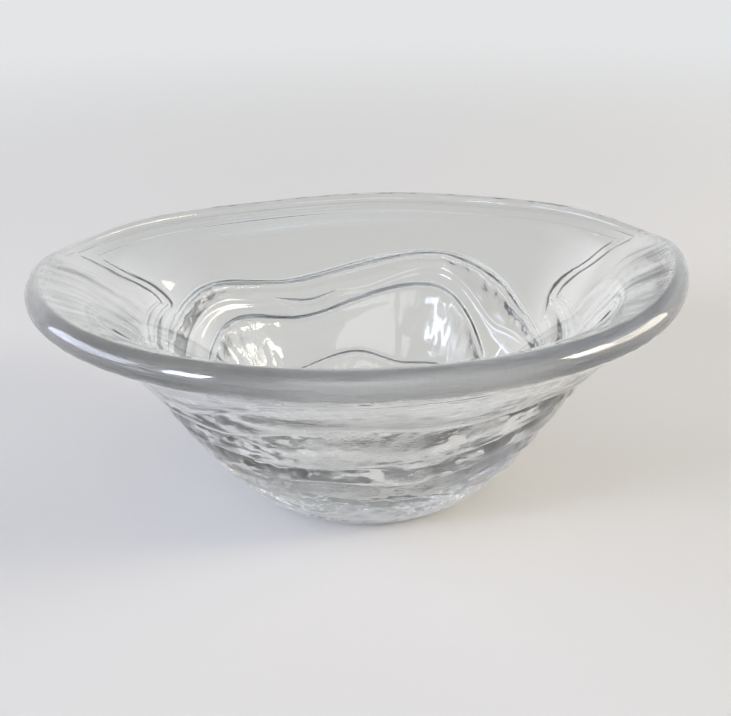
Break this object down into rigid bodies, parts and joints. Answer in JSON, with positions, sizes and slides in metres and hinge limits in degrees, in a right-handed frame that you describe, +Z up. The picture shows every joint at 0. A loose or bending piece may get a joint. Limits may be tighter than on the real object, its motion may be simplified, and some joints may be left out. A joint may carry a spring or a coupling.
{
  "type": "dessert bowl",
  "caption": "Clear glass dessert bowl, one piece, with a thick flared lip, a smooth inside and wavy stepped ledges round the outside, on a flat base.",
  "frame": {"origin": "on the table, under the middle of the rim; the flat base stands 1.8 mm to +X of it", "axes": "+Z up through the bowl, -Y towards the viewer of the picture, +X to the viewer's right"},
  "size_m": [0.14, 0.14, 0.0546],
  "materials": {
    "clear_glass": "clear pressed glass, fire-polished lip and inside, sandy mould texture under the outer ledges"
  },
  "bodies": {
    "root": {"bowl": "clear_glass"}
  },
  "joints": []
}
